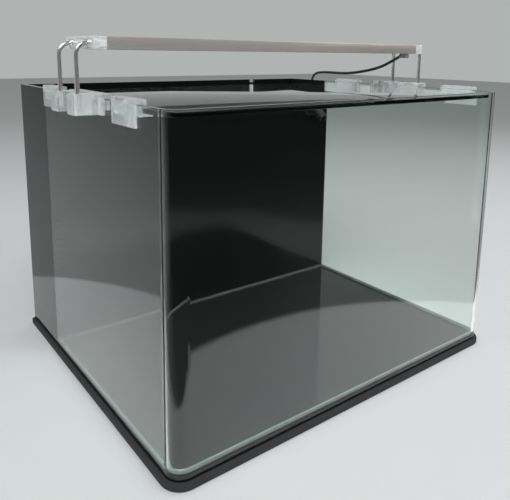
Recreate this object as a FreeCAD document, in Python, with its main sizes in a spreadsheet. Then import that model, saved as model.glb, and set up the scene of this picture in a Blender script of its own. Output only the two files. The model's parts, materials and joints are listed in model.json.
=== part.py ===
import FreeCAD, Part
import math
import os
import re
import Sketcher
from FreeCAD import Placement, Rotation, Vector

# Rimless bent-glass aquarium with a rear filter chamber, a loose lid and a clip-on lamp.
# Origin: middle of the mat's underside. X along the front, -Y towards the viewer's side, +Z up.

sizes = {
    # tank
    "tankWidth": 500, "tankDepth": 426, "glassHeight": 350, "glassThick": 6, "cornerRadius": 19,
    "matThick": 8, "matOverhang": 4, "beadSize": 3,
    "notchWide": 12, "notchDeep": 5, "notchX": 400,
    # rear chamber
    "partitionFront": 325, "sheetThick": 5, "linerThick": 1.5, "dividerThick": 4,
    "firstDivider": 150, "secondDivider": 330, "underGap": 32, "overHeight": 250,
    "combLength": 104, "combHeight": 62, "slotWide": 4, "slotTall": 40, "slotPitch": 10.9,
    "slotSill": 6, "slotCount": 8, "firstSlot": 13,
    "grilleWide": 16, "grilleBase": 38, "grilleTall": 140, "slitLong": 9, "slitTall": 3,
    "slitPitch": 8.7, "slitCount": 15,
    # lid and clips
    "lidThick": 5, "lidDrop": 3, "lidGap": 3.8, "lidCorner": 12, "fitGap": 0.3,
    "clipLong": 50, "clipWall": 3, "clipWeb": 4.5, "clipFlange": 21, "ledgeWide": 13,
    "leftFrontClip": 82, "leftRearClip": 290, "rightFrontClip": 63, "rightRearClip": 276,
    # lamp
    "barLong": 486, "barDeep": 78, "barHigh": 13, "barWall": 1.5, "barY": 175, "barLift": 48.5,
    "capLong": 13.5, "lipWide": 4, "diffuserThick": 2, "boardThick": 1.6, "ledSize": 5, "ledHigh": 1,
    "legRadius": 2.4, "legBend": 12, "legOut": 20, "legSpacing": 50, "legInCap": 9,
    "bracketEnd": 10.5, "bossDeep": 24, "bossWide": 20, "bossHigh": 21, "socketFloor": 4,
    "socketGap": 0.1, "screwRadius": 2, "screwHead": 4.4, "screwHeadLong": 4, "screwInset": 5.4,
    "screwSlot": 1,
    "collarRadius": 4.2, "collarLong": 1.4,
    # pump and media
    "pumpLong": 62, "pumpDeep": 44, "pumpHigh": 46, "pumpX": 452, "pumpY": 375,
    "cupHigh": 6, "cupFoot": 8, "cupNeck": 4,
    "rotorRadius": 15, "rotorLong": 18, "rotorGap": 2, "hubRadius": 4, "pinRadius": 2, "pinReach": 6,
    "bladeThick": 2, "coverThick": 4, "coverSlotLong": 24, "coverSlotTall": 2, "coverSlotPitch": 5,
    "pipeOuter": 10, "elbowExtra": 4, "shaftGap": 0.1, "outletZ": 303, "outletHigh": 12, "outletDeep": 6,
    "nozzleRadius": 8, "nozzleBore": 6, "nozzleNeck": 20, "nozzleInside": 15, "flangeThick": 3,
    "flangeWide": 4, "spoutLong": 24, "spoutAngle": 125,
    "spongeLong": 128, "spongeHigh": 200, "basketLong": 160, "basketHigh": 170, "mediaGap": 5,
    "basketWall": 2.5, "basketSlotWide": 10, "basketSlotTall": 18, "basketSill": 20,
    "ringRadius": 11, "ringBore": 5, "ringLong": 24,
    # cord
    "cordRadius": 2.2, "coilRadius": 25, "layerGap": 0.2, "plugRadius": 5, "plugGrip": 26,
    "plugTip": 10, "plugTipRadius": 2.75,
    "glandDrop": 4.3, "glandWide": 9, "glandDeep": 11.5, "glandHigh": 6.5, "glandLead": 2.5,
    "sleeveWall": 0.6, "sleeveLong": 3.6,
}

doc = FreeCAD.newDocument("Aquarium")
sheet = doc.addObject("Spreadsheet::Sheet", "Sizes")
for row, (alias, number) in enumerate(sizes.items(), 1):
    sheet.set(f"A{row}", alias)
    sheet.set(f"B{row}", str(number))
    sheet.setAlias(f"B{row}", alias)
doc.recompute()
pieces = {}


def bound(text):
    # A formula in plain aliases, turned into one that reads the sheet.
    return re.sub(r"[A-Za-z]\w*", lambda word: "Sizes." + word.group(0), str(text))


def bind(item, **formulas):
    for key, text in formulas.items():
        item.setExpression(key.replace("_", "."), bound(text))


def place(item, x=0, y=0, z=0, turn=Rotation()):
    item.Placement = Placement(Vector(), turn)
    bind(item, Placement_Base_x=x, Placement_Base_y=y, Placement_Base_z=z)
    return item


def size(alias):
    return float(sheet.get(alias))


def piece(item, label):
    item.Label = label
    pieces[label] = item
    return item


# Places that several pieces share.
left = "(-tankWidth / 2)"
front = "(-tankDepth / 2)"
rim = "(matThick + glassHeight)"
floor = "(matThick + glassThick)"
innerWidth = "(tankWidth - 2 * glassThick)"
partitionY = f"({front} + partitionFront)"
chamberY = f"({partitionY} + sheetThick)"
chamberDeep = "(tankDepth - partitionFront - sheetThick - glassThick)"
lidTop = f"({rim} - lidDrop)"
lidUnder = f"({lidTop} - lidThick)"
sheetHigh = "(glassHeight - glassThick - lidDrop - lidThick - 1)"
barZ = f"({rim} + barLift)"
barMidY = f"({front} + barY)"
pumpMidX = f"({left} + pumpX)"
pumpMidY = f"({front} + pumpY)"
outletMidZ = "(matThick + outletZ)"
pipeBore = "(nozzleRadius + shaftGap)"
bracketLong = "(legSpacing + bossWide + 2 * bracketEnd)"
upright = Rotation(Vector(1, 0, 0), 90)
alongX = Rotation(Vector(0, 1, 0), 90)
alongY = Rotation(Vector(1, 0, 0), -90)

# The cord's own places: its first two points, how far it falls between them, and its coil.
cordStart = (238, -51)
cordFirst = (236, -36)
cordFall = 8
coilMiddle = (190, 259)
coilTop = coilMiddle[1] + size("coilRadius") + size("cordRadius")
cordFloor = size("cordRadius") + size("layerGap") / 2


def box(name, x, y, z, long, deep, high):
    item = doc.addObject("Part::Box", name)
    bind(item, Length=long, Width=deep, Height=high)
    return place(item, x, y, z)


def rod(name, x, y, z, radius, high, turn=Rotation()):
    item = doc.addObject("Part::Cylinder", name)
    bind(item, Radius=radius, Height=high)
    return place(item, x, y, z, turn)


def fuse(name, items):
    item = doc.addObject("Part::MultiFuse", name)
    item.Shapes = items
    return item


def group(name, items):
    # Separate solids kept apart in one node.
    item = doc.addObject("Part::Compound", name)
    item.Links = items
    return item


def cut(name, base, tools):
    item = doc.addObject("Part::Cut", name)
    item.Base = base
    item.Tool = tools[0] if len(tools) == 1 else fuse(name + "Tools", tools)
    return item


def newBody(name):
    return doc.addObject("PartDesign::Body", name)


def newSketch(body, name, role="XY_Plane"):
    sketch = body.newObject("Sketcher::SketchObject", name)
    plane = [item for item in body.Origin.OriginFeatures if item.Role == role][0]
    sketch.AttachmentSupport = [(plane, "")]
    sketch.MapMode = "FlatFace"
    return sketch


def hold(sketch, formula, *where):
    # One dimension of a sketch; a zero keeps the point on the axis.
    kind, line, end = where
    if formula == "0":
        axis = -2 if kind == "DistanceX" else -1
        sketch.addConstraint(Sketcher.Constraint("PointOnObject", line, end, axis))
        return
    index = sketch.addConstraint(Sketcher.Constraint(kind, -1, 1, line, end, 1.0))
    sketch.setExpression(f"Constraints[{index}]", bound(formula))


def rectangle(sketch, x, y, long, high):
    corners = [Vector(1, 1, 0), Vector(9, 1, 0), Vector(9, 9, 0), Vector(1, 9, 0)]
    first = sketch.GeometryCount
    for index, corner in enumerate(corners):
        sketch.addGeometry(Part.LineSegment(corner, corners[(index + 1) % 4]))
    for index in range(4):
        following = first + (index + 1) % 4
        sketch.addConstraint(Sketcher.Constraint("Coincident", first + index, 2, following, 1))
        way = "Vertical" if index % 2 else "Horizontal"
        sketch.addConstraint(Sketcher.Constraint(way, first + index))
    hold(sketch, x, "DistanceX", first, 1)
    hold(sketch, y, "DistanceY", first, 1)
    across = sketch.addConstraint(Sketcher.Constraint("DistanceX", first, 1, first, 2, 8.0))
    sketch.setExpression(f"Constraints[{across}]", bound(long))
    upwards = sketch.addConstraint(Sketcher.Constraint("DistanceY", first + 1, 1, first + 1, 2, 8.0))
    sketch.setExpression(f"Constraints[{upwards}]", bound(high))


def circle(sketch, x, y, radius):
    index = sketch.addGeometry(Part.Circle(Vector(5, 5, 0), Vector(0, 0, 1), 2))
    hold(sketch, x, "DistanceX", index, 3)
    hold(sketch, y, "DistanceY", index, 3)
    width = sketch.addConstraint(Sketcher.Constraint("Radius", index, 2.0))
    sketch.setExpression(f"Constraints[{width}]", bound(radius))


def pad(body, sketch, name, length):
    feature = body.newObject("PartDesign::Pad", name)
    feature.Profile = sketch
    sketch.Visibility = False
    bind(feature, Length=length)
    doc.recompute()
    return feature


def pocket(body, sketch, name):
    # Through everything; it has to take material away.
    before = body.Shape.Volume
    feature = body.newObject("PartDesign::Pocket", name)
    feature.Profile = sketch
    feature.Type = "ThroughAll"
    feature.Midplane = True
    doc.recompute()
    if not body.Shape.Volume < before - 1:
        raise RuntimeError(name + " cuts nothing")
    return feature


def roundCorners(body, name, radius, chosen):
    # Rounds the straight edges along Z of the body's own shape that the test picks.
    names = []
    for index, edge in enumerate(body.Tip.Shape.Edges, 1):
        ends = [vertex.Point for vertex in edge.Vertexes]
        if len(ends) == 2 and abs(ends[0].x - ends[1].x) < 1e-6 and abs(ends[0].y - ends[1].y) < 1e-6:
            if chosen(ends[0]):
                names.append(f"Edge{index}")
    feature = body.newObject("PartDesign::Fillet", name)
    feature.Base = (body.Tip if body.Tip != feature else feature.BaseFeature, names)
    bind(feature, Radius=radius)
    doc.recompute()
    return feature


def plate(label, long, deep, thick, x, y, z, turn=Rotation()):
    # A flat sheet sketched from its own corner.
    body = newBody(label)
    sketch = newSketch(body, label + "Outline")
    rectangle(sketch, "0", "0", long, deep)
    pad(body, sketch, label + "Pad", thick)
    return piece(place(body, x, y, z, turn), label)


def levelingMat():
    grown = "(tankWidth + 2 * matOverhang)"
    body = plate("leveling_mat", grown, "tankDepth + 2 * matOverhang", "matThick",
                 f"{left} - matOverhang", f"{front} - matOverhang", "0")
    roundCorners(body, "MatFront", "cornerRadius + matOverhang", lambda end: end.y < 1)
    roundCorners(body, "MatBack", "matOverhang", lambda end: end.y > 1 + size("cornerRadius") * 2)


def bottomPane():
    body = plate("bottom_pane", "tankWidth", "tankDepth", "glassThick", left, front, "matThick")
    roundCorners(body, "PaneFront", "cornerRadius", lambda end: end.y < 1)


def bentGlassWall():
    # One pane bent round both front corners, open at the back.
    body = plate("bent_glass_wall", "tankWidth", "tankDepth", "glassHeight - glassThick", left, front, floor)
    inside = newSketch(body, "WallInside")
    rectangle(inside, "glassThick", "glassThick", innerWidth, "tankDepth")
    pocket(body, inside, "WallHollow")
    roundCorners(body, "WallBendsIn", "cornerRadius - glassThick",
                 lambda end: abs(end.y - size("glassThick")) < 0.01)
    roundCorners(body, "WallBendsOut", "cornerRadius", lambda end: end.y < 1)


def backPane():
    high = "(glassHeight - glassThick)"
    body = plate("back_pane", innerWidth, high, "glassThick", f"{left} + glassThick",
                 f"{front} + tankDepth", floor, upright)
    notch = newSketch(body, "CableNotch")
    middle = "(notchX - glassThick)"
    rectangle(notch, f"{middle} - notchWide / 2", f"{high} - notchDeep", "notchWide", "2 * notchDeep")
    pocket(body, notch, "CableNotchCut")


def baseBead():
    # Silicone fillet round the floor of the display, as one closed ring.
    deep = "(partitionFront - glassThick)"
    body = plate("silicone_bead", innerWidth, deep, "beadSize", f"{left} + glassThick",
                 f"{front} + glassThick", floor)
    inside = newSketch(body, "BeadInside")
    rectangle(inside, "beadSize", "beadSize", f"{innerWidth} - 2 * beadSize", f"{deep} - 2 * beadSize")
    pocket(body, inside, "BeadHollow")
    roundCorners(body, "BeadInsideRound", "cornerRadius - glassThick - beadSize",
                 lambda end: abs(end.y - size("beadSize")) < 0.01)
    roundCorners(body, "BeadOutside", "cornerRadius - glassThick", lambda end: end.y < 1)


def partition():
    body = plate("partition", innerWidth, sheetHigh, "sheetThick", f"{left} + glassThick",
                 f"{partitionY} + sheetThick", floor, upright)
    windows = newSketch(body, "Windows")
    rectangle(windows, "0", f"{sheetHigh} - combHeight", "combLength", "2 * combHeight")
    rectangle(windows, "0", "grilleBase", "grilleWide", "grilleTall")
    circle(windows, "pumpX - glassThick", "outletZ - glassThick", "nozzleRadius + fitGap")
    pocket(body, windows, "WindowsCut")


def overflowComb():
    body = plate("overflow_comb", "combLength", "combHeight", "sheetThick", f"{left} + glassThick",
                 f"{partitionY} + sheetThick", f"{floor} + {sheetHigh} - combHeight", upright)
    slot = newSketch(body, "CombSlot")
    rectangle(slot, "firstSlot", "slotSill", "slotWide", "slotTall")
    spread(body, slot, "Comb", "H_Axis", "slotPitch", "slotCount")


def intakeGrille():
    body = plate("intake_grille", "grilleWide", "grilleTall", "sheetThick", f"{left} + glassThick",
                 f"{partitionY} + sheetThick", f"{floor} + grilleBase", upright)
    slit = newSketch(body, "GrilleSlit")
    side = "(grilleWide - slitLong)"
    ends = "(grilleTall - (slitCount - 1) * slitPitch - slitTall)"
    rectangle(slit, f"{side} / 2", f"{ends} / 2", "slitLong", "slitTall")
    spread(body, slit, "Grille", "V_Axis", "slitPitch", "slitCount")


def spread(body, sketch, name, axis, pitch, count):
    # One opening, repeated in a line.
    opening = pocket(body, sketch, name + "Cut")
    before = body.Shape.Volume
    pattern = body.newObject("PartDesign::LinearPattern", name + "Row")
    pattern.Originals = [opening]
    pattern.Direction = (sketch, [axis])
    bind(pattern, Length=f"{pitch} * ({count} - 1)", Occurrences=count)
    body.Tip = pattern
    doc.recompute()
    if not body.Shape.Volume < before - 1:
        raise RuntimeError(name + " pattern cuts nothing")


def chamberLiners():
    shift = {"left": f"{left} + glassThick", "right": f"{left} + tankWidth - glassThick - linerThick"}
    for side, x in shift.items():
        plate(f"{side}_chamber_liner", "linerThick", chamberDeep, "glassHeight - glassThick", x, chamberY,
              floor)


def dividers():
    # Water goes under the first wall, up through the media and over the second.
    high = f"({sheetHigh} - underGap)"
    plate("under_flow_divider", "dividerThick", chamberDeep, high, f"{left} + firstDivider",
          chamberY, f"{floor} + underGap")
    plate("over_flow_divider", "dividerThick", chamberDeep, "overHeight", f"{left} + secondDivider",
          chamberY, floor)


def lid():
    edge = "(glassThick + lidGap)"
    long = f"(tankWidth - 2 * {edge})"
    deep = f"(partitionFront + sheetThick - {edge})"
    body = plate("lid", long, deep, "lidThick", f"{left} + {edge}", f"{front} + {edge}", lidUnder)
    roundCorners(body, "LidFront", "lidCorner", lambda end: end.y < 1)


def saddle(name, side, y, long, low):
    # Inner leg, web over the rim and outer leg, in boxes that share faces. Side is 1 or -1.
    inner = "(tankWidth / 2 - glassThick - fitGap - clipWall)"
    across = "(glassThick + 2 * fitGap + 2 * clipWall)"
    parts = [
        (inner, f"{rim} + fitGap", across, "clipWeb"),
        (inner, f"{lidUnder} - fitGap - clipWall", "clipWall",
         f"{rim} + fitGap + clipWeb - {lidUnder} + fitGap + clipWall"),
        (f"{inner} + {across} - clipWall", low, "clipWall", f"{rim} + fitGap + clipWeb - {low}"),
    ]
    made = []
    for index, (x, z, wide, high) in enumerate(parts):
        start = x if side > 0 else f"-({x}) - ({wide})"
        made.append(box(f"{name}Part{index}", start, y, z, wide, long, high))
    return made


def ledge(name, side, y, long):
    # The shelf that the lid rests on.
    tip = "(tankWidth / 2 - glassThick - fitGap - ledgeWide)"
    start = tip if side > 0 else f"-{tip} - ledgeWide"
    return box(name + "Ledge", start, y, f"{lidUnder} - clipWall", "ledgeWide", long, "clipWall")


def lidClips():
    spots = {"left_front": (-1, "leftFrontClip"), "left_rear": (-1, "leftRearClip"),
             "right_front": (1, "rightFrontClip"), "right_rear": (1, "rightRearClip")}
    for spot, (side, middle) in spots.items():
        name = f"lid_clip_{spot}"
        y = f"{front} + {middle} - clipLong / 2"
        low = f"({rim} - clipFlange)"
        solids = saddle(name, side, y, "clipLong", low) + [ledge(name, side, y, "clipLong")]
        piece(fuse(name, solids), name)


def lampBrackets():
    face = "(tankWidth / 2 + fitGap + clipWall)"
    legX = "(tankWidth / 2 + legOut)"
    low = f"({rim} + fitGap + clipWeb - bossHigh)"
    for side, word in ((-1, "left"), (1, "right")):
        name = f"lamp_bracket_{word}"
        y = f"{barMidY} - {bracketLong} / 2"
        solids = saddle(name, side, y, bracketLong, low)
        sockets = []
        for end in (-1, 1):
            mid = f"({barMidY} + {end} * legSpacing / 2)"
            start = face if side > 0 else f"-{face} - bossDeep"
            solids.append(box(f"{name}Boss{end + 1}", start, f"{mid} - bossWide / 2", low,
                              "bossDeep", "bossWide", "bossHigh"))
            sockets.append(rod(f"{name}Socket{end + 1}", f"{side} * {legX}", mid, f"{low} + socketFloor",
                               "legRadius + socketGap", "bossHigh"))
        screwY = f"({barMidY} + {bracketLong} / 2 - screwInset)"
        screwZ = f"({low} + bossHigh / 2)"
        inner = "(tankWidth / 2)"
        start = inner if side > 0 else f"-{inner} - 4 * clipWall"
        sockets.append(rod(f"{name}Hole", start, screwY, screwZ, "screwRadius + socketGap",
                           "4 * clipWall", alongX))
        piece(cut(name, fuse(name + "Body", solids), sockets), name)
        bracketScrew(side, word, screwY, screwZ)


def bracketScrew(side, word, y, z):
    # Presses on the outside of the glass, with a flat head proud of the bracket.
    name = f"bracket_screw_{word}"
    shank = "(2 * fitGap + clipWall)"
    head = f"(tankWidth / 2 + {shank})"
    shankX = "tankWidth / 2" if side > 0 else f"-tankWidth / 2 - {shank}"
    headX = head if side > 0 else f"-{head} - screwHeadLong"
    solids = [rod(name + "Shank", shankX, y, z, "screwRadius", shank, alongX),
              rod(name + "Head", headX, y, z, "screwHead", "screwHeadLong", alongX)]
    slotX = f"{head} + screwHeadLong / 2" if side > 0 else f"-{head} - screwHeadLong"
    slot = box(name + "Slot", slotX, f"{y} - screwHead", f"{z} - screwSlot / 2", "screwHeadLong / 2",
               "2 * screwHead", "screwSlot")
    piece(cut(name, fuse(name + "Body", solids), [slot]), name)


def lampHousing():
    # Extruded channel, open below between two lips. Drawn upright and laid along X.
    body = newBody("lamp_housing")
    sketch = newSketch(body, "HousingSection", "YZ_Plane")
    rectangle(sketch, "0", "0", "barDeep", "barHigh")
    pad(body, sketch, "HousingPad", "barLong")
    hollow = newSketch(body, "HousingHollow", "YZ_Plane")
    rectangle(hollow, "barWall", "barWall", "barDeep - 2 * barWall", "barHigh - 2 * barWall")
    pocket(body, hollow, "HousingHollowCut")
    mouth = newSketch(body, "HousingMouth", "YZ_Plane")
    rectangle(mouth, "barWall + lipWide", "0", "barDeep - 2 * (barWall + lipWide)", "2 * barWall")
    pocket(body, mouth, "HousingMouthCut")
    piece(place(body, "-barLong / 2", f"{barMidY} - barDeep / 2", barZ), "lamp_housing")


def lampInside():
    inside = "(barDeep - 2 * barWall)"
    y = f"{barMidY} - {inside} / 2"
    ceiling = f"({barZ} + barHigh - barWall)"
    start = "-barLong / 2"
    piece(box("Diffuser", start, y, f"{barZ} + barWall", "barLong", inside, "diffuserThick"), "diffuser")
    piece(box("LedBoard", start, y, f"{ceiling} - boardThick", "barLong", inside, "boardThick"), "led_board")
    count = 12
    chips = []
    for index in range(count):
        along = f"({index} + 0.5) * barLong / {count} - barLong / 2 - ledSize / 2"
        for line in (-1, 1):
            across = f"{barMidY} + {line} * barDeep / 5 - ledSize / 2"
            chips.append(box(f"Led{index}Row{line + 1}", along, across,
                             f"{ceiling} - boardThick - ledHigh", "ledSize", "ledSize", "ledHigh"))
    piece(group("Leds", chips), "leds")


def endCaps():
    # Clear blocks that close the channel and hold the wire legs and two screws each.
    legZ = f"({barZ} + barHigh / 2)"
    for side, word in ((-1, "left"), (1, "right")):
        name = f"end_cap_{word}"
        inner = "(barLong / 2)"
        start = inner if side > 0 else f"-{inner} - capLong"
        block = box(name + "Block", start, f"{barMidY} - barDeep / 2", barZ, "capLong", "barDeep", "barHigh")
        outer = f"({inner} + capLong)"
        legStart = f"{outer} - legInCap" if side > 0 else f"-{outer}"
        holes = [rod(f"{name}Leg{end + 1}", legStart, f"{barMidY} + {end} * legSpacing / 2", legZ,
                     "legRadius", "legInCap", alongX) for end in (-1, 1)]
        piece(cut(name, block, holes), name)


def wireLegs():
    legZ = f"({barZ} + barHigh / 2)"
    legX = "(tankWidth / 2 + legOut)"
    bottom = f"({rim} + fitGap + clipWeb - bossHigh + socketFloor)"
    outer = "(barLong / 2 + capLong - legInCap)"
    for side, word in ((-1, "left"), (1, "right")):
        for end, way in ((-1, "front"), (1, "rear")):
            name = f"wire_leg_{word}_{way}"
            y = f"({barMidY} + {end} * legSpacing / 2)"
            level = f"({legX} - legBend - {outer})"
            start = outer if side > 0 else f"-{outer} - {level}"
            across = rod(name + "Level", start, y, legZ, "legRadius", level, alongX)
            down = rod(name + "Down", f"{side} * {legX}", y, bottom, "legRadius",
                       f"{legZ} - legBend - {bottom}")
            bend = doc.addObject("Part::Torus", name + "Bend")
            bind(bend, Radius1="legBend", Radius2="legRadius")
            bend.Angle3 = 90
            turn = upright if side > 0 else Rotation(Vector(0, 0, 1), 180).multiply(upright)
            place(bend, f"{side} * ({legX} - legBend)", y, f"{legZ} - legBend", turn)
            piece(fuse(name, [across, bend, down]), name)
    collars(legZ)


def collars(legZ):
    rings = []
    outer = "(barLong / 2 + capLong)"
    for side in (-1, 1):
        for end in (-1, 1):
            name = f"Collar{side + 1}{end + 1}"
            start = outer if side > 0 else f"-{outer} - collarLong"
            y = f"{barMidY} + {end} * legSpacing / 2"
            ring = rod(name + "Disc", start, y, legZ, "collarRadius", "collarLong", alongX)
            hole = rod(name + "Bore", start, y, legZ, "legRadius", "collarLong", alongX)
            rings.append(cut(name, ring, [hole]))
    piece(group("Collars", rings), "leg_collars")


def cordGland():
    # Small block under the bar with a short slanted sleeve. The cord starts at the sleeve's end.
    block = box("GlandBlock", f"{cordStart[0]} - glandWide / 2", f"{cordStart[1]} - glandDeep - glandLead",
                f"{barZ} - glandHigh", "glandWide", "glandDeep", "glandHigh")
    back = Vector(*cordStart, 0) - Vector(*cordFirst, 0)
    back.z = cordFall
    sleeve = rod("GlandSleeve", cordStart[0], cordStart[1], f"{barZ} - glandDrop",
                 "cordRadius + sleeveWall", "sleeveLong", Rotation(Vector(0, 0, 1), back))
    piece(fuse("Gland", [block, sleeve]), "cord_gland")


def pump():
    low = f"({floor} + cupHigh)"
    block = box("PumpBlock", f"{pumpMidX} - pumpLong / 2", f"{pumpMidY} - pumpDeep / 2", low,
                "pumpLong", "pumpDeep", "pumpHigh")
    stub = rod("PumpStub", pumpMidX, pumpMidY, f"{low} + pumpHigh", pipeBore, "outletHigh")
    mid = f"({low} + pumpHigh / 2)"
    faceY = f"({pumpMidY} - pumpDeep / 2)"
    throat = f"({low} + pumpHigh - outletDeep)"
    cavity = rod("PumpCavity", pumpMidX, faceY, mid, "rotorRadius + rotorGap",
                 "rotorLong + 2 * rotorGap", alongY)
    riser = rod("PumpOutletUp", pumpMidX, pumpMidY, throat, "nozzleBore", "outletHigh + outletDeep")
    link = box("PumpOutletLink", f"{pumpMidX} - nozzleBore", f"{faceY} + rotorLong / 2 + rotorGap", throat,
               "2 * nozzleBore", "pumpDeep / 2 - rotorLong / 2 - rotorGap", "outletDeep - rotorGap")
    passage = box("PumpPassage", f"{pumpMidX} - nozzleBore / 2", f"{faceY} + rotorLong / 2", mid,
                  "nozzleBore", "nozzleBore", "pumpHigh / 2 - outletDeep / 2")
    pin = rod("PumpPinHole", pumpMidX, f"{faceY} + rotorLong + rotorGap", mid, "pinRadius",
              "pinReach + rotorGap", alongY)
    piece(cut("PumpBody", fuse("PumpSolid", [block, stub]), [cavity, passage, link, riser, pin]), "pump_body")
    pumpCover(mid, faceY)
    impeller(mid, faceY)
    cups = []
    for sideX in (-1, 1):
        for sideY in (-1, 1):
            cup = doc.addObject("Part::Cone", f"Cup{sideX + 1}{sideY + 1}")
            bind(cup, Radius1="cupFoot", Radius2="cupNeck", Height="cupHigh")
            cups.append(place(cup, f"{pumpMidX} + {sideX} * pumpLong / 3",
                              f"{pumpMidY} + {sideY} * pumpDeep / 4", floor))
    piece(group("Cups", cups), "pump_suction_cups")


def pumpCover(mid, faceY):
    back = f"({faceY} - coverThick)"
    cover = box("CoverPlate", f"{pumpMidX} - pumpLong / 2", back, f"{mid} - pumpHigh / 2",
                "pumpLong", "coverThick", "pumpHigh")
    slots = [box(f"CoverSlot{index + 2}", f"{pumpMidX} - coverSlotLong / 2", back,
                 f"{mid} + {index} * coverSlotPitch - coverSlotTall / 2", "coverSlotLong", "coverThick",
                 "coverSlotTall") for index in range(-2, 3)]
    piece(cut("PumpCover", cover, slots), "pump_cover")


def impeller(mid, faceY):
    # Hub, six blades and a pin that turns in the pump's back wall.
    start = f"({faceY} + rotorGap)"
    parts = [rod("RotorHub", pumpMidX, start, mid, "hubRadius", "rotorLong", alongY),
             rod("RotorPin", pumpMidX, start, mid, "pinRadius - shaftGap", "rotorLong + pinReach", alongY)]
    blades = 6
    for index in range(blades):
        blade = doc.addObject("Part::Box", f"Blade{index}")
        bind(blade, Length="rotorRadius", Width="rotorLong / 2", Height="bladeThick")
        parts.append(place(blade, pumpMidX, start, mid, Rotation(Vector(0, 1, 0), 360 / blades * index)))
    piece(fuse("Impeller", parts), "impeller")


def riserPipe():
    # Straight up from the pump, then an elbow forwards to the partition.
    low = f"({floor} + cupHigh + pumpHigh)"
    bend = "(pipeOuter + elbowExtra)"
    ends = chamberY
    shells = []
    for name, radius in (("Pipe", "pipeOuter"), ("PipeBore", pipeBore)):
        up = rod(name + "Up", pumpMidX, pumpMidY, low, radius, f"{outletMidZ} - {bend} - {low}")
        over = rod(name + "Over", pumpMidX, ends, outletMidZ, radius, f"{pumpMidY} - {bend} - {ends}", alongY)
        elbow = doc.addObject("Part::Torus", name + "Elbow")
        bind(elbow, Radius1=bend, Radius2=radius)
        elbow.Angle3 = 90
        turn = Rotation(Vector(0, 0, 1), 90).multiply(upright)
        place(elbow, pumpMidX, f"{pumpMidY} - {bend}", f"{outletMidZ} - {bend}", turn)
        shells.append(fuse(name, [up, elbow, over]))
    piece(cut("RiserPipe", shells[0], [shells[1]]), "riser_pipe")


def returnNozzle():
    # Its shaft turns in the pipe; a flange sits in front of the partition.
    shaft = rod("NozzleShaft", pumpMidX, partitionY, outletMidZ, "nozzleRadius",
                "sheetThick + nozzleInside", alongY)
    flange = rod("NozzleFlange", pumpMidX, f"{partitionY} - flangeThick - fitGap", outletMidZ,
                 "nozzleRadius + flangeWide", "flangeThick", alongY)
    neck = rod("NozzleNeck", pumpMidX, f"{partitionY} - nozzleNeck", outletMidZ, "nozzleRadius",
               "nozzleNeck", alongY)
    downwards = Rotation(Vector(1, 0, 0), size("spoutAngle"))
    spout = doc.addObject("Part::Cone", "NozzleSpout")
    bind(spout, Radius1="nozzleRadius", Radius2="nozzleRadius - 1", Height="spoutLong")
    place(spout, pumpMidX, f"{partitionY} - nozzleNeck * 0.8", outletMidZ, downwards)
    middleY = f"({partitionY} - nozzleNeck * 0.7)"
    bore = rod("NozzleBore", pumpMidX, middleY, outletMidZ, "nozzleBore", "3 * nozzleNeck", alongY)
    drop = rod("NozzleDrop", pumpMidX, middleY, outletMidZ, "nozzleBore - 0.5", "2 * nozzleNeck", downwards)
    piece(cut("ReturnNozzle", fuse("NozzleSolid", [shaft, flange, neck, spout]), [bore, drop]), "return_nozzle")


def filterMedia():
    spongeX = f"({left} + glassThick + linerThick + mediaGap)"
    y = f"({chamberY} + mediaGap)"
    deep = f"({chamberDeep} - 2 * mediaGap)"
    piece(box("Sponge", spongeX, y, floor, "spongeLong", deep, "spongeHigh"), "filter_sponge")
    basketX = f"({left} + firstDivider + dividerThick + mediaGap)"
    outside = box("BasketOutside", basketX, y, floor, "basketLong", deep, "basketHigh")
    inside = box("BasketInside", f"{basketX} + basketWall", f"{y} + basketWall", f"{floor} + basketWall",
                 "basketLong - 2 * basketWall", f"{deep} - 2 * basketWall", "basketHigh")
    holes = []
    slotColumns, ringColumns, levels = 6, 5, 3
    for index in range(slotColumns):
        along = f"{basketX} + ({index} + 0.5) * basketLong / {slotColumns} - basketSlotWide / 2"
        for high in range(levels):
            holes.append(box(f"BasketSlot{index}{high}", along, y,
                             f"{floor} + basketSill + {high} * basketHigh / {levels + 1}",
                             "basketSlotWide", deep, "basketSlotTall"))
    piece(cut("Basket", outside, [inside] + holes), "media_basket")
    rings = []
    for column in range(ringColumns):
        for level in range(levels):
            name = f"Ring{column}{level}"
            x = f"{basketX} + ({column} + 0.5) * basketLong / {ringColumns}"
            z = f"{floor} + basketWall + ringRadius + {level} * (2 * ringRadius + 1)"
            middle = f"{y} + {deep} / 2 - ringLong / 2"
            ring = rod(name + "Body", x, middle, z, "ringRadius", "ringLong", alongY)
            rings.append(cut(name, ring, [rod(name + "Bore", x, middle, z, "ringBore", "ringLong", alongY)]))
    piece(group("Rings", rings), "ceramic_rings")


def tube(points, radius):
    # Straight runs joined by arcs as large as the two runs allow.
    edges = []
    start = points[0]
    for index in range(1, len(points) - 1):
        before, corner, after = points[index - 1:index + 2]
        inward = (corner - before).normalize()
        onward = (after - corner).normalize()
        turn = inward.getAngle(onward)
        reach = 0.45 * min((corner - before).Length, (after - corner).Length)
        print(f"cord bend {index}: radius {reach / math.tan(turn / 2):.1f}")
        first = corner - inward * reach
        last = corner + onward * reach
        middle = (onward - inward).normalize()
        bend = reach / math.tan(turn / 2)
        through = corner + middle * (bend / math.cos(turn / 2) - bend)
        edges.append(Part.LineSegment(start, first).toShape())
        edges.append(Part.Arc(first, through, last).toShape())
        start = last
    edges.append(Part.LineSegment(start, points[-1]).toShape())
    path = Part.Wire(edges)
    ring = Part.Wire([Part.makeCircle(radius, points[0], points[1] - points[0])])
    solid = path.makePipeShell([ring], True, False)
    ideal = math.pi * radius ** 2 * path.Length
    print(f"cord length {path.Length:.1f}, volume against section by length {solid.Volume / ideal:.4f}")
    if abs(solid.Volume / ideal - 1) > 0.01:
        raise RuntimeError("cord tube is not its section times its length")
    return solid


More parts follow.
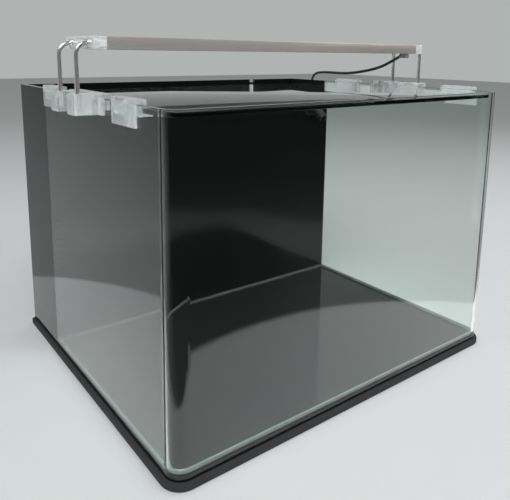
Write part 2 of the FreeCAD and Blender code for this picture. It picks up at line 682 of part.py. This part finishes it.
def made(label, shape):
    item = doc.addObject("Part::Feature", label)
    item.Shape = shape
    return piece(item, label)


def lampCord():
    # From the gland back over the lid, over the right rim and down behind the tank.
    radius = size("cordRadius")
    startZ = size("matThick") + size("glassHeight") + size("barLift") - size("glandDrop")
    route = [
        (*cordStart, startZ), (*cordFirst, startZ - cordFall), (233, -20, 385.9), (230, 2, 380),
        (228, 23, 376.3), (227, 46, 373.6), (230, 70, 373.3), (235, 96, 373.4), (239, 118, 373),
        (245, 141, 371), (254, 160, 363.5), (264, 174, 346), (268, 182, 318), (269, 188, 272),
        (270, 193, 214), (270, 197, 155), (272, 201, 98), (274, 207, 52), (272, 224, 21),
        (267, 246, cordFloor), (254, 264, cordFloor), (234, 278, cordFloor), (212, coilTop - 1, cordFloor),
        (coilMiddle[0], coilTop, cordFloor),
    ]
    made("lamp_cord", tube([Vector(*point) for point in route], radius))


def cordCoil():
    # Two layers of turns, two turns wide, as one ring.
    pitch = 2 * size("cordRadius") + size("layerGap") / 2
    high = 4 * size("cordRadius") + 2 * size("layerGap")
    middle = Vector(*coilMiddle, 0)
    ring = Part.makeCylinder(size("coilRadius") + pitch, high, middle)
    hole = Part.makeCylinder(size("coilRadius") - pitch, high, middle)
    made("lamp_cord_coil", ring.cut(hole))


def cordTail():
    # The free end leaves the upper layer of turns and comes down to the plug.
    plugZ = size("plugRadius") + size("layerGap")
    upperZ = cordFloor + 2 * size("cordRadius") + size("layerGap")
    middleX = coilMiddle[0]
    end = Vector(middleX - 40, coilTop, plugZ)
    tail = [(middleX + 8, coilTop, upperZ), (middleX - 9, coilTop, upperZ), (middleX - 25, coilTop, plugZ), end]
    made("lamp_cord_tail", tube([Vector(*point) for point in tail], size("cordRadius")))
    way = Vector(-1, 0, 0)
    grip = Part.makeCylinder(size("plugRadius"), size("plugGrip"), end, way)
    tip = Part.makeCylinder(size("plugTipRadius"), size("plugTip"), end + way * size("plugGrip"), way)
    made("lamp_plug", grip.fuse(tip))


def check():
    for item in doc.Objects:
        if "Invalid" in item.State or "Error" in item.State:
            raise RuntimeError(f"{item.Label} failed: {item.State}")
    for label, item in pieces.items():
        if item.Shape.isNull() or not item.Shape.isValid() or not item.Shape.Solids:
            raise RuntimeError(f"{label} has no sound shape")


levelingMat()
bottomPane()
bentGlassWall()
backPane()
baseBead()
partition()
overflowComb()
intakeGrille()
chamberLiners()
dividers()
lid()
lidClips()
lampBrackets()
lampHousing()
lampInside()
endCaps()
wireLegs()
pump()
riserPipe()
returnNozzle()
filterMedia()
lampCord()
cordCoil()
cordTail()
cordGland()

doc.recompute()
check()
os.makedirs("parts", exist_ok=True)
for label, item in pieces.items():
    item.Shape.exportStep(f"parts/{label}.step")
    bounds = item.Shape.BoundBox
    print(f"{label}: {len(item.Shape.Solids)} solid, x {bounds.XMin:.1f} {bounds.XMax:.1f}"
          f" y {bounds.YMin:.1f} {bounds.YMax:.1f} z {bounds.ZMin:.1f} {bounds.ZMax:.1f}")
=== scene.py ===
import json
import math
import bpy
from mathutils import Matrix, Vector

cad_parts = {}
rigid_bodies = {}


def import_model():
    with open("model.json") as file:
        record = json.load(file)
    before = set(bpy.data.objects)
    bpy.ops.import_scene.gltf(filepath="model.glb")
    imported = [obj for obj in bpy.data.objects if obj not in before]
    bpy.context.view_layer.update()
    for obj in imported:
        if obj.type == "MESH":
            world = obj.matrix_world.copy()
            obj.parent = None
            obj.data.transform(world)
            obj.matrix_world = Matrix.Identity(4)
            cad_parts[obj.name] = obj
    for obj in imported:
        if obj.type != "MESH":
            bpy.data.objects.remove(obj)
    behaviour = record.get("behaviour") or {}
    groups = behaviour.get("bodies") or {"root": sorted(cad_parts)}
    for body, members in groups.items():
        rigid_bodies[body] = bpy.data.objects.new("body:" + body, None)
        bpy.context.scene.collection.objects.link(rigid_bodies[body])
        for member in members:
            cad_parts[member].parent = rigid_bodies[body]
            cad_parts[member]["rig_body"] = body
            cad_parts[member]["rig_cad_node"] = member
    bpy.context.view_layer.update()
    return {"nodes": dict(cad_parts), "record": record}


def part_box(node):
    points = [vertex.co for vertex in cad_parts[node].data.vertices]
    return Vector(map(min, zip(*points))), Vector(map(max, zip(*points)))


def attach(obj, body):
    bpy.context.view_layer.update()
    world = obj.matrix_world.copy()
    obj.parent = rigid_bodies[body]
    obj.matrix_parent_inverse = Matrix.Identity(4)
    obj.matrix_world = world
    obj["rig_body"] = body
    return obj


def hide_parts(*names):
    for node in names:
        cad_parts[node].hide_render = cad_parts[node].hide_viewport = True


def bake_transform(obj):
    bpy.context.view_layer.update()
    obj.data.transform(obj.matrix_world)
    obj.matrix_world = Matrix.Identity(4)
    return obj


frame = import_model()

nodes = frame["nodes"]
bodyOf = {node: body for body, members in frame["record"]["behaviour"]["bodies"].items() for node in members}
slotOf = {part["node"]: part["material_slot"] for part in frame["record"]["subparts"]}
scene = bpy.context.scene
scene.view_settings.view_transform = "Standard"
up = Vector((0, 0, 1))


cameraSettings = {
    "place": (-0.4729, -0.6242, 0.4052),
    "turn": 37.21,
    "down": 10.5,
    "roll": 0.73,
    "lens": 40.24,
    "shiftY": -0.1796,
}


def makeCamera(s):
    turn, down, roll = (math.radians(s[key]) for key in ("turn", "down", "roll"))
    ahead = Vector((math.sin(turn) * math.cos(down), math.cos(turn) * math.cos(down), -math.sin(down)))
    right = ahead.cross(up).normalized()
    top = right.cross(ahead)
    rolledRight = right * math.cos(roll) + top * math.sin(roll)
    rolledTop = top * math.cos(roll) - right * math.sin(roll)
    bpy.ops.object.camera_add()
    camera = bpy.context.object
    camera.name = "camera"
    turned = Matrix((rolledRight, rolledTop, -ahead)).transposed().to_4x4()
    camera.matrix_world = Matrix.Translation(s["place"]) @ turned
    camera.data.lens = s["lens"]
    camera.data.sensor_width = 36
    camera.data.shift_y = s["shiftY"]
    camera.data.clip_start = 0.01
    scene.camera = camera


makeCamera(cameraSettings)


class Value:
    # one number that changes over a surface; sums on it add Math nodes
    def __init__(self, finish, socket):
        self.finish = finish
        self.socket = socket

    def sum(self, kind, a, b):
        return Value(self.finish, self.finish.node("ShaderNodeMath", {"operation": kind}, {0: a, 1: b}).outputs[0])

    def __add__(self, other):
        return self.sum("ADD", self, other)

    def __sub__(self, other):
        return self.sum("SUBTRACT", self, other)

    def __rsub__(self, other):
        return self.sum("SUBTRACT", other, self)

    def __mul__(self, other):
        return self.sum("MULTIPLY", self, other)

    def __gt__(self, other):
        return self.sum("GREATER_THAN", self, other)

    __radd__ = __add__
    __rmul__ = __mul__


class Finish:
    # a material under construction
    def __init__(self, name, tree=None, space="Object"):
        if tree is None:
            self.material = bpy.data.materials.new(name)
            self.material.use_nodes = True
            tree = self.material.node_tree
        self.tree = tree
        self.tree.nodes.clear()
        self.coordinates = self.node("ShaderNodeTexCoord").outputs[space]

    def node(self, kind, settings=None, sockets=None):
        made = self.tree.nodes.new(kind)
        for key, value in (settings or {}).items():
            if key == "stops":
                self.setStops(made.color_ramp, value)
            else:
                setattr(made, key, value)
        for key, value in (sockets or {}).items():
            value = value.socket if isinstance(value, Value) else value
            if isinstance(value, bpy.types.NodeSocket):
                self.tree.links.new(value, made.inputs[key])
            else:
                made.inputs[key].default_value = value
        return made

    def setStops(self, ramp, stops):
        while len(ramp.elements) < len(stops):
            ramp.elements.new(0.5)
        for element, (place, shade) in zip(ramp.elements, stops):
            element.position = place
            element.color = (*shade, 1) if isinstance(shade, tuple) else (shade, shade, shade, 1)

    def noise(self, scale, detail=3.0, stretch=None):
        where = self.coordinates
        if stretch:
            where = self.node("ShaderNodeMapping", {}, {"Vector": where, "Scale": stretch}).outputs[0]
        sockets = {"Vector": where, "Scale": scale, "Detail": detail}
        return Value(self, self.node("ShaderNodeTexNoise", {}, sockets).outputs["Fac"])

    def axis(self, name):
        return Value(self, self.node("ShaderNodeSeparateXYZ", {}, {0: self.coordinates}).outputs[name])

    def distance(self, centre):
        # how far a place is from a centre on the floor
        across = self.axis("X") - centre[0]
        along = self.axis("Y") - centre[1]
        square = across * across + along * along
        return square.sum("SQRT", square, 0)

    def rise(self, value, start, end):
        # 0 before start and 1 after end
        ramp = self.node("ShaderNodeMapRange", {}, {"Value": value, 1: start, 2: end, 3: 0.0, 4: 1.0})
        return Value(self, ramp.outputs[0])

    def facing(self, name):
        normal = self.node("ShaderNodeNewGeometry").outputs["Normal"]
        return Value(self, self.node("ShaderNodeSeparateXYZ", {}, {0: normal}).outputs[name])

    def blendColour(self, factor, first, second):
        mix = self.node("ShaderNodeMix", {"data_type": "RGBA"}, {0: factor})
        for index, shade in ((6, first), (7, second)):
            if isinstance(shade, bpy.types.NodeSocket):
                self.tree.links.new(shade, mix.inputs[index])
            else:
                mix.inputs[index].default_value = (*shade, 1)
        return mix.outputs[2]

    def bump(self, height, strength, distance):
        sockets = {"Height": height, "Strength": strength, "Distance": distance}
        return self.node("ShaderNodeBump", {}, sockets).outputs[0]

    def shader(self, **sockets):
        names = {key.replace("_", " "): value for key, value in sockets.items()}
        if isinstance(names.get("Base Color"), tuple):
            names["Base Color"] = (*names["Base Color"], 1)
        return self.node("ShaderNodeBsdfPrincipled", {}, names).outputs[0]

    def done(self, shader):
        self.node("ShaderNodeOutputMaterial", {}, {"Surface": shader})
        return self.material


def clearFinish(name, tint, roughness, edgeColour=None, edgeTest=None, clearness=1.0):
    # see-through in the middle, and lamps pass through it; a low clearness looks milky
    finish = Finish(name)
    smudge = finish.noise(40, 4)
    colour = tint
    if edgeColour:
        colour = finish.blendColour(edgeTest(finish), tint, edgeColour)
    solid = finish.shader(Base_Color=colour, Roughness=smudge * roughness + roughness / 2,
                          IOR=1.5, Transmission_Weight=clearness)
    passing = finish.node("ShaderNodeBsdfTransparent", {}, {"Color": (*tint, 1)}).outputs[0]
    shadow = finish.node("ShaderNodeLightPath").outputs["Is Shadow Ray"]
    mix = finish.node("ShaderNodeMixShader", {}, {0: shadow, 1: solid, 2: passing}).outputs[0]
    return finish.done(mix)


def solidFinish(name, dark, light, roughness, grain=60, bump=0.1, metal=0.0, coat=0.0, stretch=None,
                depth=0.0002, gloss=0.5):
    # colour and gloss that drift a little over the surface
    finish = Finish(name)
    drift = finish.noise(grain, 4, stretch)
    colour = finish.blendColour(drift, dark, light)
    fine = finish.noise(grain * 12, 2, stretch)
    return finish.done(finish.shader(Base_Color=colour, Roughness=drift * (roughness * 0.4) + roughness * 0.8,
                                     Metallic=metal, Coat_Weight=coat, Specular_IOR_Level=gloss,
                                     Normal=finish.bump(fine, bump, depth)))


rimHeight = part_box("bent_glass_wall")[1][2]


def topEdge(finish):
    return finish.axis("Z") > rimHeight - 0.0006


def paneEdge(finish):
    side = finish.facing("Z")
    return 1 - (side * side > 0.5)


materials = {
    "clear_glass": clearFinish("clearGlass", (0.94, 0.97, 0.955), 0.006, (0.09, 0.16, 0.13), topEdge),
    "bottom_glass": clearFinish("bottomGlass", (0.94, 0.97, 0.955), 0.02, (0.50, 0.56, 0.54), paneEdge),
    "lid_glass": clearFinish("lidGlass", (0.95, 0.985, 0.97), 0.006, (0.05, 0.11, 0.09), paneEdge),
    "black_glass": solidFinish("blackGlass", (0.004, 0.005, 0.005), (0.007, 0.008, 0.008), 0.08, 20, 0.02),
    "black_acrylic": solidFinish("blackAcrylic", (0.003, 0.004, 0.004), (0.007, 0.008, 0.008), 0.16, 25, 0.03,
                                 gloss=0.35),
    "black_film": solidFinish("blackFilm", (0.004, 0.005, 0.005), (0.009, 0.010, 0.010), 0.7, 25, 0.05, gloss=0.05),
    "clear_acrylic": clearFinish("clearAcrylic", (0.93, 0.95, 0.95), 0.08, clearness=0.82),
    "milky_acrylic": clearFinish("milkyAcrylic", (0.95, 0.96, 0.96), 0.12, clearness=0.5),
    "dark_screw": solidFinish("darkScrew", (0.03, 0.03, 0.03), (0.07, 0.07, 0.07), 0.5, 200, 0.2),
    "satin_aluminium": solidFinish("satinAluminium", (0.50, 0.465, 0.455), (0.60, 0.565, 0.55), 0.30, 120, 0.12,
                                   metal=0.5, stretch=(0.05, 1, 1)),
    "steel_wire": solidFinish("steelWire", (0.70, 0.69, 0.68), (0.82, 0.81, 0.80), 0.16, 150, 0.03, metal=0.8),
    "diffuser": solidFinish("frostedDiffuser", (0.74, 0.75, 0.75), (0.84, 0.85, 0.85), 0.5, 90, 0.1),
    "circuit_board": solidFinish("circuitBoard", (0.75, 0.77, 0.75), (0.85, 0.86, 0.84), 0.4, 80, 0.05),
    "led_chip": solidFinish("ledPhosphor", (0.85, 0.74, 0.25), (0.92, 0.82, 0.35), 0.3, 300, 0.05),
    "gland_grey": solidFinish("glandGrey", (0.22, 0.22, 0.23), (0.32, 0.32, 0.33), 0.5, 200, 0.15),
    "cord_black": solidFinish("cordJacket", (0.012, 0.012, 0.012), (0.03, 0.03, 0.03), 0.42, 220, 0.2),
    "mat_foam": solidFinish("matFoam", (0.014, 0.015, 0.016), (0.036, 0.038, 0.040), 0.85, 260, 0.8, depth=0.0006),
    "silicone": clearFinish("siliconeBead", (0.80, 0.85, 0.83), 0.16, clearness=0.93),
    "sponge": solidFinish("spongeFoam", (0.008, 0.009, 0.010), (0.06, 0.065, 0.07), 0.95, 380, 1.0, depth=0.002),
    "ceramic": solidFinish("firedCeramic", (0.68, 0.63, 0.53), (0.86, 0.83, 0.76), 0.85, 180, 0.7, depth=0.0006),
    "suction_rubber": solidFinish("cupRubber", (0.02, 0.02, 0.02), (0.05, 0.05, 0.05), 0.5, 160, 0.2),
    "pump_plastic": solidFinish("pumpPlastic", (0.016, 0.016, 0.017), (0.035, 0.035, 0.037), 0.42, 240, 0.3),
    "impeller_plastic": solidFinish("rotorPlastic", (0.60, 0.62, 0.63), (0.72, 0.74, 0.75), 0.35, 150, 0.15),
}
print("stage: materials", len(materials))


def selectNone():
    if bpy.context.mode != "OBJECT":
        bpy.ops.object.mode_set(mode="OBJECT")
    bpy.ops.object.select_all(action="DESELECT")


def onlyThis(piece):
    selectNone()
    piece.select_set(True)
    bpy.context.view_layer.objects.active = piece


def settle(piece, name, body, finish, replaced=(), smooth=35):
    # place goes into the mesh, then the piece is given its body and finish
    onlyThis(piece)
    piece.name = name
    bpy.ops.object.transform_apply(location=True, rotation=True, scale=True)
    bpy.ops.object.shade_smooth_by_angle(angle=math.radians(smooth))
    piece.data.materials.clear()
    piece.data.materials.append(materials[finish])
    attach(piece, body)
    if replaced:
        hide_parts(*replaced)
    return piece


def applyModifier(piece, kind, **settings):
    onlyThis(piece)
    modifier = piece.modifiers.new(kind.lower(), kind)
    for key, value in settings.items():
        setattr(modifier, key, value)
    bpy.ops.object.modifier_apply(modifier=modifier.name)


def refined(node, width, finish, segments=3):
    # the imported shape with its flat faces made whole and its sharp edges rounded
    onlyThis(nodes[node])
    bpy.ops.object.duplicate()
    piece = bpy.context.object
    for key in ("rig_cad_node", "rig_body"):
        if key in piece:
            del piece[key]
    piece.parent = None
    bpy.ops.object.mode_set(mode="EDIT")
    bpy.ops.mesh.select_all(action="SELECT")
    bpy.ops.mesh.remove_doubles(threshold=0.00001)
    bpy.ops.mesh.dissolve_limited(angle_limit=math.radians(1))
    bpy.ops.object.mode_set(mode="OBJECT")
    applyModifier(piece, "BEVEL", width=width, segments=segments, limit_method="ANGLE",
                  angle_limit=math.radians(40), use_clamp_overlap=True)
    return settle(piece, node + "_shape", bodyOf[node], finish, (node,))


cordSettings = {
    "diameter": 0.0044,
    "length": 1.2,
    "coilCentre": (0.190, 0.259),
    "coilRadius": 0.025,
    "pitch": 0.0046,
    "floor": 0.0023,
    "pointsPerTurn": 16,
    "turns": 3,
    "plugHeight": 0.0052,
}
cordRoute = [
    (0.238, -0.051, 0.4022), (0.236, -0.036, 0.3942), (0.233, -0.020, 0.3859), (0.230, 0.002, 0.380),
    (0.228, 0.023, 0.3763), (0.227, 0.046, 0.3736), (0.230, 0.070, 0.3733), (0.235, 0.096, 0.3734),
    (0.239, 0.118, 0.373), (0.245, 0.141, 0.371), (0.254, 0.160, 0.3635), (0.264, 0.174, 0.346),
    (0.268, 0.182, 0.318), (0.269, 0.188, 0.272), (0.270, 0.193, 0.214), (0.270, 0.197, 0.155),
    (0.272, 0.201, 0.098), (0.274, 0.207, 0.052), (0.272, 0.224, 0.021), (0.267, 0.246, 0.0023),
    (0.254, 0.264, 0.0023), (0.234, 0.278, 0.0023), (0.212, 0.2852, 0.0023),
]


def ramp(turn, start, end):
    return min(1.0, max(0.0, (turn - start) / (end - start)))


def coilPoints(s):
    # in along the outside, over to the inside, up one layer and out again
    points = []
    for step in range(s["turns"] * s["pointsPerTurn"] + 1):
        turn = step / s["pointsPerTurn"]
        angle = math.radians(90) + turn * 2 * math.pi
        inward = ramp(turn, 0.6, 0.85) - ramp(turn, 1.9, 2.15)
        radius = s["coilRadius"] + s["pitch"] * (0.5 - inward)
        height = s["floor"] + s["pitch"] * ramp(turn, 1.45, 1.7)
        x, y = s["coilCentre"]
        points.append((x + radius * math.cos(angle), y + radius * math.sin(angle), height))
    return points


def makeCord(s):
    coil = coilPoints(s)
    x, y, z = coil[-1]
    tail = [(x - 0.009, y, z), (x - 0.025, y, s["plugHeight"]), (x - 0.040, y, s["plugHeight"])]
    route = cordRoute + coil + tail
    bpy.ops.curve.primitive_nurbs_path_add()
    piece = bpy.context.object
    piece.data.splines.clear()
    spline = piece.data.splines.new("NURBS")
    spline.points.add(len(route) - 1)
    for point, place in zip(spline.points, route):
        point.co = (*place, 1)
    spline.order_u = 3
    spline.use_endpoint_u = True
    piece.data.dimensions = "3D"
    piece.data.resolution_u = 10
    bareLine = bpy.data.meshes.new_from_object(piece.evaluated_get(bpy.context.evaluated_depsgraph_get()))
    middle = [vertex.co.copy() for vertex in bareLine.vertices]
    piece.data.bevel_depth = s["diameter"] / 2
    piece.data.bevel_resolution = 4
    piece.data.use_fill_caps = True
    onlyThis(piece)
    bpy.ops.object.convert(target="MESH")
    piece = bpy.context.object
    piece.name = "lamp_cord_line"
    bpy.ops.object.shade_smooth()
    piece.data.materials.clear()
    piece.data.materials.append(materials["cord_black"])
    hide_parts("lamp_cord", "lamp_cord_coil", "lamp_cord_tail")
    return piece, middle




glandSettings = {
    "ribs": 5,
    "ribDepth": 0.0005,
    "tipRadius": 0.0028,
    "rootRadius": 0.0039,
    "sides": 28,
}
plugSettings = {
    "ribs": 6,
    "ribDepth": 0.0006,
    "tipRadius": 0.00275,
    "boreRadius": 0.00125,
    "sides": 40,
}
cupSettings = {
    "lip": 0.0006,
    "neck": 0.0032,
    "sides": 40,
}
screwSettings = {
    "knurls": 24,
    "knurlDepth": 0.0002,
    "chamfer": 0.0004,
    "slotWidth": 0.0010,
    "slotDepth": 0.0016,
}


def addTurned(profile, sides, place=(0, 0, 0), towards=(0, 0, 1)):
    # a round piece grown ring by ring: profile is a list of (height, radius) from its base
    selectNone()
    bpy.ops.mesh.primitive_circle_add(vertices=sides, radius=profile[0][1], fill_type="NGON")
    piece = bpy.context.object
    bpy.ops.object.mode_set(mode="EDIT")
    bpy.ops.mesh.select_all(action="SELECT")
    height, radius = profile[0]
    for nextHeight, nextRadius in profile[1:]:
        bpy.ops.mesh.extrude_region_move(TRANSFORM_OT_translate={"value": (0, 0, nextHeight - height)})
        share = nextRadius / radius
        bpy.ops.transform.resize(value=(share, share, 1), center_override=(0, 0, nextHeight))
        height, radius = nextHeight, nextRadius
    bpy.ops.mesh.select_all(action="SELECT")
    bpy.ops.mesh.normals_make_consistent(inside=False)
    bpy.ops.object.mode_set(mode="OBJECT")
    piece.rotation_euler = Vector(towards).to_track_quat("Z", "Y").to_euler()
    piece.location = place
    return piece


def joined(pieces):
    selectNone()
    for piece in pieces:
        piece.select_set(True)
    bpy.context.view_layer.objects.active = pieces[0]
    bpy.ops.object.transform_apply(location=True, rotation=True, scale=True)
    bpy.ops.object.join()
    return bpy.context.object


def makeGland(s):
    # a rounded block under the bar, then a ribbed sleeve that narrows along the cord
    low, high = (Vector(corner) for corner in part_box("cord_gland"))
    exit, onward = Vector(cordRoute[0]), Vector(cordRoute[1])
    way = (onward - exit).normalized()
    blockEnd = exit.y - 0.0025
    middle = Vector(((low.x + high.x) / 2, (low.y + blockEnd) / 2, (high.z + low.z + 0.0003) / 2))
    selectNone()
    bpy.ops.mesh.primitive_cube_add(size=1, location=middle,
                                    scale=(high.x - low.x, blockEnd - low.y, high.z - low.z - 0.0003))
    block = bpy.context.object
    bpy.ops.object.transform_apply(location=True, rotation=False, scale=True)
    applyModifier(block, "BEVEL", width=0.0012, segments=4)
    base = exit - way * 0.0042
    steps = 2 * s["ribs"]
    profile = []
    for step in range(steps + 1):
        share = step / steps
        radius = s["rootRadius"] + (s["tipRadius"] - s["rootRadius"]) * share
        profile.append((0.0042 * share, radius - (s["ribDepth"] if step % 2 else 0)))
    sleeve = addTurned(profile, s["sides"], base, way)
    settle(joined([block, sleeve]), "gland_moulding", "lamp", "gland_grey", ("cord_gland",))


def makePlug(s):
    # a ribbed grip, a collar and a bored metal tip, along -X
    low, high = (Vector(corner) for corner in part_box("lamp_plug"))
    radius = (high.z - low.z) / 2
    back = Vector((high.x, (low.y + high.y) / 2, (low.z + high.z) / 2))
    gripLong = (high.x - low.x) - 0.010
    profile = [(0, radius * 0.55), (0.003, radius * 0.72), (0.006, radius * 0.95), (0.0075, radius)]
    ribStart, ribEnd = 0.0085, gripLong - 0.006
    for step in range(2 * s["ribs"] + 1):
        height = ribStart + (ribEnd - ribStart) * step / (2 * s["ribs"])
        profile.append((height, radius - (s["ribDepth"] if step % 2 else 0)))
    profile += [(gripLong - 0.002, radius), (gripLong - 0.0006, radius * 0.9), (gripLong, radius * 0.75)]
    grip = addTurned(profile, s["sides"], back, (-1, 0, 0))
    settle(grip, "plug_grip", "root", "cord_black", ("lamp_plug",), smooth=50)
    tipBase = back - Vector((gripLong - 0.0002, 0, 0))
    tipLong = 0.0102
    tipProfile = [(0, s["tipRadius"]), (tipLong - 0.0004, s["tipRadius"]), (tipLong, s["tipRadius"] - 0.0003),
                  (tipLong, s["boreRadius"]), (tipLong - 0.007, s["boreRadius"])]
    tip = addTurned(tipProfile, s["sides"], tipBase, (-1, 0, 0))
    settle(tip, "plug_tip", "root", "steel_wire", ())
    return [grip, tip]


def makeCups(s):
    # four flared cups with a thin lip and a waisted neck
    low, high = (Vector(corner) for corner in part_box("pump_suction_cups"))
    wide = 0.008
    tall = high.z - low.z
    profile = [(0, wide - 0.0004), (s["lip"], wide), (tall * 0.3, wide * 0.72), (tall * 0.55, s["neck"]),
               (tall * 0.8, s["neck"]), (tall, s["neck"] + 0.0008)]
    cups = [addTurned(profile, s["sides"], (x, y, low.z))
            for x in (low.x + wide, high.x - wide) for y in (low.y + wide, high.y - wide)]
    settle(joined(cups), "cup_set", "root", "suction_rubber", ("pump_suction_cups",))


def makeScrew(s, word, side):
    # a knurled head with a slot, and its shank; side is 1 to the right
    node = f"bracket_screw_{word}"
    low, high = (Vector(corner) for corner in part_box(node))
    radius = (high.z - low.z) / 2
    middle = (low + high) / 2
    headLong = 0.004
    outer = high.x if side > 0 else low.x
    inner = low.x if side > 0 else high.x
    reach = abs(outer - inner) - headLong
    shank = addTurned([(0, 0.002), (reach, 0.002)], 24, (inner, middle.y, middle.z), (side, 0, 0))
    chamfer = s["chamfer"]
    head = addTurned([(0, radius - chamfer), (chamfer, radius), (headLong - chamfer, radius),
                      (headLong, radius - chamfer)], 2 * s["knurls"],
                     (outer - side * headLong, middle.y, middle.z), (side, 0, 0))
    for vertex in head.data.vertices:
        if vertex.index % 2:
            vertex.co.x *= 1 - s["knurlDepth"] / radius
            vertex.co.y *= 1 - s["knurlDepth"] / radius
    selectNone()
    bpy.ops.mesh.primitive_cube_add(size=1, location=(outer, middle.y, middle.z),
                                    scale=(2 * s["slotDepth"], 3 * radius, s["slotWidth"]))
    cutter = bpy.context.object
    applyModifier(head, "BOOLEAN", object=cutter, operation="DIFFERENCE", solver="EXACT")
    bpy.data.objects.remove(cutter)
    settle(joined([head, shank]), f"thumb_screw_{word}", bodyOf[node], slotOf[node], (node,))


makeGland(glandSettings)
plugPieces = makePlug(plugSettings)
cordPiece, cordMiddle = makeCord(cordSettings)
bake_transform(cordPiece)
print("stage: cord")
makeCups(cupSettings)
makeScrew(screwSettings, "left", -1)
makeScrew(screwSettings, "right", 1)
print("stage: small fittings")

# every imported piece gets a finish, its slot's unless it is named here
finishOf = {
    "bottom_pane": "bottom_glass",
    "left_chamber_liner": "black_film",
    "right_chamber_liner": "black_film",
    "end_cap_left": "milky_acrylic",
    "end_cap_right": "milky_acrylic",
}
for node, piece in nodes.items():
    piece.data.materials.clear()
    piece.data.materials.append(materials[finishOf.get(node, slotOf[node])])

edgeRounding = {
    "leveling_mat": 0.0015,
    "lid": 0.0008,
    "lamp_housing": 0.0006,
    "end_cap_left": 0.0012,
    "end_cap_right": 0.0012,
    "lamp_bracket_left": 0.0007,
    "lamp_bracket_right": 0.0007,
    "lid_clip_left_front": 0.0007,
    "lid_clip_left_rear": 0.0007,
    "lid_clip_right_front": 0.0007,
    "lid_clip_right_rear": 0.0007,
    "filter_sponge": 0.004,
    "media_basket": 0.0006,
    "pump_body": 0.0015,
    "pump_cover": 0.0006,
}
for node, width in edgeRounding.items():
    refined(node, width, finishOf.get(node, slotOf[node]))
print("stage: refined pieces", len(edgeRounding))


studio = {
    "floor": (0.63, 0.645, 0.65),
    "backdrop": (0.43, 0.455, 0.45),
    "fadeFrom": 0.9,
    "fadeTo": 3.0,
    "skyForDiffuse": (0.52, 0.53, 0.53),
    "tableCentre": (0.01, 0.04),
    "tableRadius": 0.47,
    # painted reflection colours, seen only by rays off shiny things: a bright table, a dim room in front, a pale
    # room behind
    "paintedTableReflection": (0.88, 0.90, 0.905),
    "paintedFrontReflection": (0.012, 0.011, 0.011),
    "paintedBackReflection": (0.44, 0.465, 0.46),
}


def seenInGloss(finish):
    # 1 on any ray that has bounced off something shiny, 0 on a straight look and on soft light
    path = finish.node("ShaderNodeLightPath").outputs
    bounced = Value(finish, path["Glossy Depth"]) > 0.5
    return bounced * (1 - Value(finish, path["Is Diffuse Ray"]))


def makeFloor(s):
    # pale all over; on rays that bounced off something shiny the colour is a painted reflection: a bright table
    # disc, and beyond the table's width a painted dim room in front and a pale one behind
    selectNone()
    bpy.ops.mesh.primitive_plane_add(size=16)
    floorPiece = bpy.context.object
    floorPiece.name = "floor"
    finish = Finish("floorFinish")
    distance = finish.distance(s["tableCentre"])
    fade = finish.rise(finish.distance((0, 0)), s["fadeFrom"], s["fadeTo"])
    plain = finish.blendColour(fade, s["floor"], s["backdrop"])
    # painted reflection of a room: dim in front, pale behind
    paintedRoom = finish.blendColour(finish.rise(finish.axis("Y"), -0.35, 0.05), s["paintedFrontReflection"], s["paintedBackReflection"])
    beyond = finish.rise(distance, s["tableRadius"], s["tableRadius"] + 0.012)
    paintedReflection = finish.blendColour(beyond, s["paintedTableReflection"], paintedRoom)
    colour = finish.blendColour(seenInGloss(finish), plain, paintedReflection)
    floorPiece.data.materials.append(finish.done(finish.shader(
        Base_Color=colour, Roughness=0.7, Specular_IOR_Level=0.2)))


def makeWorld(s):
    world = bpy.data.worlds.new("studioWorld")
    scene.world = world
    world.use_nodes = True
    finish = Finish("worldNodes", world.node_tree, "Generated")
    # painted reflection in the sky for rays off shiny things: dim in front, pale behind
    paintedReflection = finish.blendColour(finish.rise(finish.axis("Y"), -0.15, 0.25), s["paintedFrontReflection"], s["paintedBackReflection"])
    diffuse = finish.node("ShaderNodeLightPath").outputs["Is Diffuse Ray"]
    straight = finish.blendColour(diffuse, s["backdrop"], s["skyForDiffuse"])
    sky = finish.blendColour(seenInGloss(finish), straight, paintedReflection)
    background = finish.node("ShaderNodeBackground", {}, {"Color": sky}).outputs[0]
    finish.node("ShaderNodeOutputWorld", {}, {"Surface": background})


def makeLamp(name, place, aim, energy, width):
    bpy.ops.object.light_add(type="AREA", location=place)
    lamp = bpy.context.object
    lamp.name = name
    lamp.data.energy = energy
    lamp.data.size = width
    lamp.rotation_euler = (Vector(aim) - Vector(place)).to_track_quat("-Z", "Y").to_euler()


makeFloor(studio)
makeWorld(studio)
makeLamp("keyLight", (-1.2, -1.4, 2.2), (0, 0, 0.15), 45, 1.6)
makeLamp("fillLight", (1.8, -0.8, 1.6), (0, 0, 0.2), 18, 1.8)
print("stage: studio")
